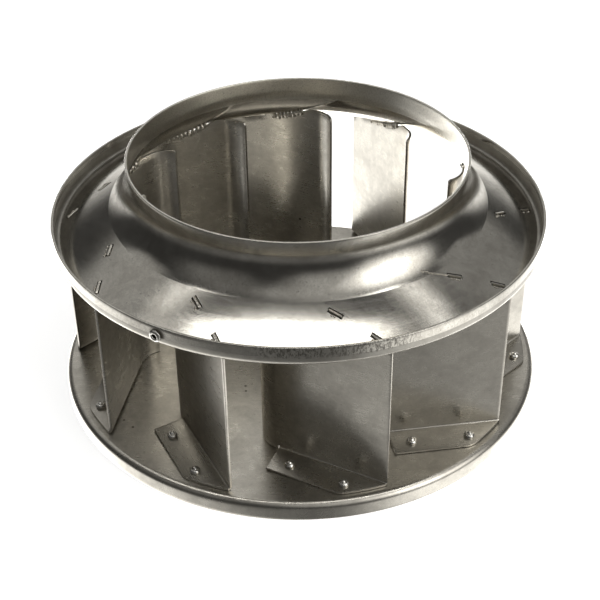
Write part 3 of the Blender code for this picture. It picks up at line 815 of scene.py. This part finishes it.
class WHEEL_OT_hub(bpy.types.Operator):
    """Turn the bored hub with its flange and spigot"""
    bl_idname = "wheel.hub"
    bl_label = "Turned Hub"

    def execute(self, context):
        colours = context.scene.wheel_colours
        seat = PLATE_TOP + GAP
        flange = seat + HUB_FLANGE_THICKNESS
        top = seat + HUB_HEIGHT
        spigot_end = PLATE_TOP - 2.5 * MM
        points = [(HUB_BORE, top), (HUB_RADIUS, top), (HUB_RADIUS, flange), (HUB_FLANGE_RADIUS, flange),
                  (HUB_FLANGE_RADIUS, seat), (HUB_SPIGOT, seat), (HUB_SPIGOT, spigot_end), (HUB_BORE, spigot_end)]
        shape = turned_shape(points, 96, closed=True)
        soften_rims(shape, 0.9 * MM, 3)
        piece = finish_piece("turned_hub", shape, metal("turned_steel", turned_steel, colours), "hub_steel", "hub")
        cutter = bmesh.new()
        # Turned a little, so that no corner of the cutter lies in the hub's own plane of corners
        off_plane = Matrix.Rotation(math.radians(3.7), 4, "Z")
        bmesh.ops.create_cone(cutter, cap_ends=True, segments=32, radius1=3.3 * MM, radius2=3.3 * MM,
                              depth=14.0 * MM, matrix=screw_matrix() @ off_plane)
        cut_away(piece, cutter)
        piece.data.shade_smooth()
        piece.data.set_sharp_from_angle(angle=math.radians(38.0))
        return {"FINISHED"}


def screw_matrix():
    """Where the set screw lies in the boss wall, its Z axis out of the hub."""
    middle = -(HUB_RADIUS + HUB_BORE) / 2
    return (Matrix.Translation((0.0, middle, PLATE_TOP + SET_SCREW_HEIGHT))
            @ Matrix.Rotation(math.pi / 2, 4, "X"))


class WHEEL_OT_hub_fasteners(bpy.types.Operator):
    """Set the hub's four rivets and its socket set screw"""
    bl_idname = "wheel.hub_fasteners"
    bl_label = "Hub Fasteners"

    def execute(self, context):
        colours = context.scene.wheel_colours
        material = metal("zinc_plated_steel", plated_steel, colours)
        for index, spot in enumerate(hub_rivet_spots()):
            shape = rivet_shape(PLATE_TOP + GAP + HUB_FLANGE_THICKNESS, 28)
            dent(shape, 0.41 * index + 5.0, 2.4 * MM, 0.3 * MM)
            bmesh.ops.translate(shape, vec=spot, verts=shape.verts)
            finish_piece(f"hub_fastener_{index + 1}", shape, material, "rivet_steel", f"hub_rivet_{index + 1}",
                         sharp=math.radians(50.0))
        half = (HUB_RADIUS - HUB_BORE) / 2 - 0.75 * MM
        shape = bmesh.new()
        bmesh.ops.create_cone(shape, cap_ends=True, segments=36, radius1=3.0 * MM, radius2=3.0 * MM,
                              depth=2 * half)
        soften_rims(shape, 0.4 * MM, 2)
        bmesh.ops.transform(shape, matrix=screw_matrix(), verts=shape.verts)
        piece = finish_piece("socket_set_screw", shape, material, "rivet_steel", "hub_set_screw")
        socket = bmesh.new()
        bmesh.ops.create_cone(socket, cap_ends=True, segments=6, radius1=1.7 * MM, radius2=1.7 * MM,
                              depth=5.0 * MM, matrix=screw_matrix() @ Matrix.Translation((0.0, 0.0, half)))
        cut_away(piece, socket)
        piece.data.shade_smooth()
        piece.data.set_sharp_from_angle(angle=math.radians(38.0))
        return {"FINISHED"}


def add_bead(shape, turn, place, angle, size, lean=0.0):
    """One lump of weld metal: an ellipsoid with its half sizes along, across and upwards."""
    matrix = (turn @ Matrix.Translation(place) @ Matrix.Rotation(angle, 4, "Z") @ Matrix.Rotation(lean, 4, "Y")
              @ Matrix.Diagonal((*size, 1.0)))
    bmesh.ops.create_uvsphere(shape, u_segments=14, v_segments=10, radius=1.0, matrix=matrix)


def add_weld_run(shape, turn, index, sizes):
    """Overlapping ripples of weld under the shroud on the blade's inner face, with three bright drops."""
    end = WELD_ENDS[index % len(WELD_ENDS)]
    along = WELD_START
    while along < end:
        chance = noise.noise(Vector((along / (2.0 * MM), index * 3.7, 0.0)))
        point = chord_point(along, -sizes.sheet / 2 - 0.1 * MM)
        height = shroud_height(point.length, sizes.sheet) - (1.9 + 0.5 * chance) * MM
        size = (0.60 * WELD_PITCH, (1.1 + 0.5 * chance) * MM, (2.2 + 0.6 * chance) * MM)
        add_bead(shape, turn, (*point, height), CHORD_ANGLE, size, 0.35 * chance)
        along += WELD_PITCH * (0.92 + 0.3 * chance)
    for share in (0.08, 0.42, 0.95):
        along = WELD_START + share * (end - WELD_START)
        point = chord_point(along, -sizes.sheet / 2 - 1.0 * MM)
        height = shroud_height(point.length, sizes.sheet) - 2.8 * MM
        add_bead(shape, turn, (*point, height), CHORD_ANGLE, (1.0 * MM, 0.9 * MM, 1.0 * MM))


def add_slot_spatter(shape, turn, index):
    """Small drops of weld beside the tabs, on the shroud's upper face."""
    for tab in TAB_PLACES:
        for drop in range(5):
            chance = noise.noise(Vector((index * 2.3, tab / MM, drop * 1.9)))
            other = noise.noise(Vector((index * 5.1, drop * 2.7, tab / MM)))
            point = chord_point(tab + 7.0 * chance * MM, (1.7 + 1.6 * abs(other)) * MM)
            size = (0.55 + 0.7 * abs(chance)) * MM
            add_bead(shape, turn, (*point, shroud_height(point.length, 0.0)), CHORD_ANGLE,
                     (size, 0.8 * size, 0.45 * size))


def add_burn_line(shape, turn):
    """Where one weld burnt through, a thin raised line shows on the shroud's upper face."""
    along = BURN_START
    while along < BURN_END:
        chance = noise.noise(Vector((along / (1.3 * MM), 0.0, 8.1)))
        point = chord_point(along, 0.7 * chance * MM)
        size = (0.75 + 0.4 * chance) * MM
        add_bead(shape, turn, (*point, shroud_height(point.length, 0.0)), CHORD_ANGLE,
                 (1.4 * size, 0.6 * size, 0.35 * size))
        along += 0.9 * MM


class WHEEL_OT_welds(bpy.types.Operator):
    """Lay the weld runs where the blades meet the shroud, and the spatter beside their tabs"""
    bl_idname = "wheel.welds"
    bl_label = "Weld Runs"

    def execute(self, context):
        sizes, colours = context.scene.wheel_sizes, context.scene.wheel_colours
        material = metal("welded_steel", weld_steel, colours)
        for index, azimuth in enumerate(blade_azimuths()):
            shape = bmesh.new()
            turn = Matrix.Rotation(azimuth, 4, "Z")
            add_weld_run(shape, turn, index, sizes)
            add_slot_spatter(shape, turn, index)
            if index == BURN_BLADE:
                add_burn_line(shape, turn)
            dent(shape, 1.3 * index, 1.1 * MM, 0.18 * MM)
            finish_piece(f"weld_run_{index + 1:02d}", shape, material, "blade_sheet")
        return {"FINISHED"}


# ---------------------------------------------------------------- stage

def direction(azimuth, elevation):
    """A unit vector towards an azimuth from the front and an elevation, both in degrees."""
    around, up = math.radians(azimuth), math.radians(elevation)
    return Vector((math.sin(around) * math.cos(up), -math.cos(around) * math.cos(up), math.sin(up)))


def panel_light(tree, view, azimuth, elevation, half_width, half_height, softness, radiance):
    """The light of one soft rectangular panel as seen along the view direction."""
    toward = direction(azimuth, elevation)
    side = direction(azimuth + 90.0, 0.0)
    up = side.cross(toward)
    facing = add_node(tree, "ShaderNodeVectorMath", {0: view, 1: toward}, operation="DOT_PRODUCT").outputs["Value"]
    depth = add_node(tree, "ShaderNodeMath", {0: facing, 1: 0.001}, operation="MAXIMUM").outputs[0]
    light = add_node(tree, "ShaderNodeMath", {0: facing, 1: 0.01}, operation="GREATER_THAN").outputs[0]
    for axis, half in ((side, half_width), (up, half_height)):
        offset = add_node(tree, "ShaderNodeVectorMath", {0: view, 1: axis}, operation="DOT_PRODUCT").outputs["Value"]
        slope = add_node(tree, "ShaderNodeMath", {0: offset, 1: depth}, operation="DIVIDE").outputs[0]
        away = add_node(tree, "ShaderNodeMath", {0: slope}, operation="ABSOLUTE").outputs[0]
        edge = math.tan(math.radians(half))
        inside = add_node(tree, "ShaderNodeMapRange",
                          {"Value": away, "From Min": edge * (1.0 - softness), "From Max": edge * (1.0 + softness),
                           "To Min": 1.0, "To Max": 0.0}, interpolation_type="SMOOTHSTEP").outputs[0]
        light = add_node(tree, "ShaderNodeMath", {0: light, 1: inside}, operation="MULTIPLY").outputs[0]
    return add_node(tree, "ShaderNodeMath", {0: light, 1: radiance}, operation="MULTIPLY").outputs[0]


def make_studio():
    """A photo studio as the metal mirrors it: soft boxes, a dark room and a glowing table."""
    world = bpy.data.worlds.new("studio")
    bpy.context.scene.world = world
    world.use_nodes = True
    tree = world.node_tree
    tree.nodes.clear()
    view = add_node(tree, "ShaderNodeTexCoord").outputs["Generated"]
    axes = add_node(tree, "ShaderNodeSeparateXYZ", {0: view})
    total = add_node(tree, "ShaderNodeMath", {0: 0.0, 1: STUDIO_DARK}, operation="ADD").outputs[0]
    for panel in STUDIO_PANELS:
        light = panel_light(tree, view, *panel[1:])
        total = add_node(tree, "ShaderNodeMath", {0: total, 1: light}, operation="ADD").outputs[0]
    below = add_node(tree, "ShaderNodeMapRange", {"Value": axes.outputs[2], "From Min": -0.10, "From Max": -0.32,
                                                  "To Min": 0.0, "To Max": 1.0}, interpolation_type="SMOOTHSTEP")
    ahead = add_node(tree, "ShaderNodeMapRange", {"Value": axes.outputs[1], "From Min": -0.42, "From Max": -0.72,
                                                  "To Min": FLOOR_GLOW, "To Max": FLOOR_GLOW_FRONT},
                     interpolation_type="SMOOTHSTEP")
    table = add_node(tree, "ShaderNodeMath", {0: below.outputs[0], 1: ahead.outputs[0]}, operation="MULTIPLY")
    total = add_node(tree, "ShaderNodeMath", {0: total, 1: table.outputs[0]}, operation="ADD").outputs[0]
    mirrored = add_node(tree, "ShaderNodeBackground", {"Color": linear("#FFFEFB"), "Strength": total})
    plain = add_node(tree, "ShaderNodeBackground", {"Color": (1.0, 1.0, 1.0, 1.0), "Strength": 1.0})
    path = add_node(tree, "ShaderNodeLightPath")
    shown = add_node(tree, "ShaderNodeMixShader", {0: path.outputs["Is Camera Ray"], 1: mirrored.outputs[0],
                                                   2: plain.outputs[0]})
    add_node(tree, "ShaderNodeOutputWorld", {0: shown.outputs[0]})


def white_table():
    """Seamless white paper, lit until it is nearly blank, so that only a faint contact shadow shows."""
    material = bpy.data.materials.new("white_paper")
    material.use_nodes = True
    shader = material.node_tree.nodes["Principled BSDF"]
    shader.inputs["Base Color"].default_value = linear("#C8C8C8")
    shader.inputs["Roughness"].default_value = 0.9
    shader.inputs["Specular IOR Level"].default_value = 0.0
    shader.inputs["Emission Color"].default_value = (1.0, 1.0, 1.0, 1.0)
    shader.inputs["Emission Strength"].default_value = 0.75
    return material


class WHEEL_OT_stage(bpy.types.Operator):
    """Set up the white table, the studio light and the camera"""
    bl_idname = "wheel.stage"
    bl_label = "Stage"

    def execute(self, context):
        scene = context.scene
        scene.view_settings.view_transform = "Standard"
        shape = bmesh.new()
        bmesh.ops.create_circle(shape, cap_ends=True, segments=64, radius=6.0,
                                matrix=Matrix.Translation((0.0, 0.0, -0.05 * MM)))
        mesh = bpy.data.meshes.new("table")
        shape.to_mesh(mesh)
        shape.free()
        mesh.materials.append(white_table())
        table = bpy.data.objects.new("table", mesh)
        scene.collection.objects.link(table)
        table.visible_glossy = False
        make_studio()
        camera = bpy.data.cameras.new("camera")
        camera.lens = CAMERA_LENS
        camera.sensor_width = 36.0
        camera.clip_start = 0.01
        viewer = bpy.data.objects.new("camera", camera)
        scene.collection.objects.link(viewer)
        away = Vector((0.0, -math.cos(CAMERA_ELEVATION), math.sin(CAMERA_ELEVATION)))
        viewer.matrix_world = (Matrix.Translation(TARGET + CAMERA_DISTANCE * away)
                               @ Matrix.Rotation(math.pi / 2 - CAMERA_ELEVATION, 4, "X")
                               @ Matrix.Rotation(CAMERA_ROLL, 4, "Z"))
        scene.camera = viewer
        return {"FINISHED"}


# ---------------------------------------------------------------- user interface

class WheelSizes(bpy.types.PropertyGroup):
    """Sizes of the wheel."""
    sheet: FloatProperty(name="Sheet", description="Thickness of the sheet steel", default=1.5 * MM,
                         unit="LENGTH", min=0.5 * MM)
    throat_radius: FloatProperty(name="Throat Radius", description="Outer radius of the inlet throat",
                                 default=104.7 * MM, unit="LENGTH")
    height: FloatProperty(name="Height", description="Height of the throat's rim above the table",
                          default=157.1 * MM, unit="LENGTH")
    shroud_radius: FloatProperty(name="Shroud Radius", description="Outer radius of the shroud's lip",
                                 default=152.5 * MM, unit="LENGTH")
    plate_radius: FloatProperty(name="Backplate Radius", description="Outer radius of the backplate's lip",
                                default=155.0 * MM, unit="LENGTH")
    blade_count: IntProperty(name="Blades", description="How many blades stand round the wheel", default=10,
                             min=2, max=10)
    turn_steps: IntProperty(name="Turn Steps", description="Facets round the spun pieces", default=300, min=24)


class WheelColours(bpy.types.PropertyGroup):
    """Colours of the wheel's metals."""
    sheet: FloatVectorProperty(name="Shroud Steel", description="Colour of the spun sheet where it is clean",
                               subtype="COLOR", size=4, default=linear("#C8C5BD"), min=0.0, max=1.0)
    inner: FloatVectorProperty(name="Inner Throat", description="Colour of the throat's inner face",
                               subtype="COLOR", size=4, default=linear("#E6E3DA"), min=0.0, max=1.0)
    stain: FloatVectorProperty(name="Stained Steel", description="Colour of the steel where it is stained",
                               subtype="COLOR", size=4, default=linear("#A8A49C"), min=0.0, max=1.0)
    plate: FloatVectorProperty(name="Backplate Steel", description="Colour of the backplate where it is clean",
                               subtype="COLOR", size=4, default=linear("#C6C2B9"), min=0.0, max=1.0)
    blade: FloatVectorProperty(name="Blade Steel", description="Colour of the blades where they are clean",
                               subtype="COLOR", size=4, default=linear("#C3BFB6"), min=0.0, max=1.0)
    rivet: FloatVectorProperty(name="Rivet Zinc", description="Colour of the rivets' plating",
                               subtype="COLOR", size=4, default=linear("#D2D0CB"), min=0.0, max=1.0)
    hub: FloatVectorProperty(name="Hub Steel", description="Colour of the turned hub",
                             subtype="COLOR", size=4, default=linear("#B4B1AA"), min=0.0, max=1.0)
    weld: FloatVectorProperty(name="Weld Bead", description="Colour of the clean weld bead",
                              subtype="COLOR", size=4, default=linear("#D0CCC2"), min=0.0, max=1.0)
    # This dark colour is also the painted shade in the slots and the rivet's hollow, and the painted shadow beside the
    # balance rivet
    grime_and_shade: FloatVectorProperty(name="Grime", description="Colour of pressed-in dirt and specks",
                               subtype="COLOR", size=4, default=linear("#3E3A33"), min=0.0, max=1.0)
    heat: FloatVectorProperty(name="Heat Tint", description="Colour that the weld's heat leaves",
                              subtype="COLOR", size=4, default=linear("#6E6558"), min=0.0, max=1.0)


STEPS = ("stage", "backplate", "blades", "foot_rivets", "hub", "hub_fasteners", "shroud", "balance_rivet", "welds")


class WHEEL_PT_panel(bpy.types.Panel):
    """The wheel's sizes, colours and pieces"""
    bl_idname = "WHEEL_PT_panel"
    bl_label = "Blower Wheel"
    bl_space_type = "VIEW_3D"
    bl_region_type = "UI"
    bl_category = "Wheel"

    def draw(self, context):
        for group in (context.scene.wheel_sizes, context.scene.wheel_colours):
            box = self.layout.box()
            for name in group.bl_rna.properties.keys():
                if name not in {"rna_type", "name"}:
                    box.prop(group, name)
        for step in STEPS:
            self.layout.operator(f"wheel.{step}")


CLASSES = (WheelSizes, WheelColours, WHEEL_OT_stage, WHEEL_OT_backplate, WHEEL_OT_blades, WHEEL_OT_foot_rivets,
           WHEEL_OT_hub, WHEEL_OT_hub_fasteners, WHEEL_OT_shroud, WHEEL_OT_balance_rivet, WHEEL_OT_welds,
           WHEEL_PT_panel)


def register():
    for cls in CLASSES:
        bpy.utils.register_class(cls)
    bpy.types.Scene.wheel_sizes = PointerProperty(type=WheelSizes)
    bpy.types.Scene.wheel_colours = PointerProperty(type=WheelColours)


def unregister():
    del bpy.types.Scene.wheel_colours
    del bpy.types.Scene.wheel_sizes
    for cls in reversed(CLASSES):
        bpy.utils.unregister_class(cls)


def main():
    register()
    for step in STEPS:
        getattr(bpy.ops.wheel, step)()


if __name__ == "__main__":
    main()
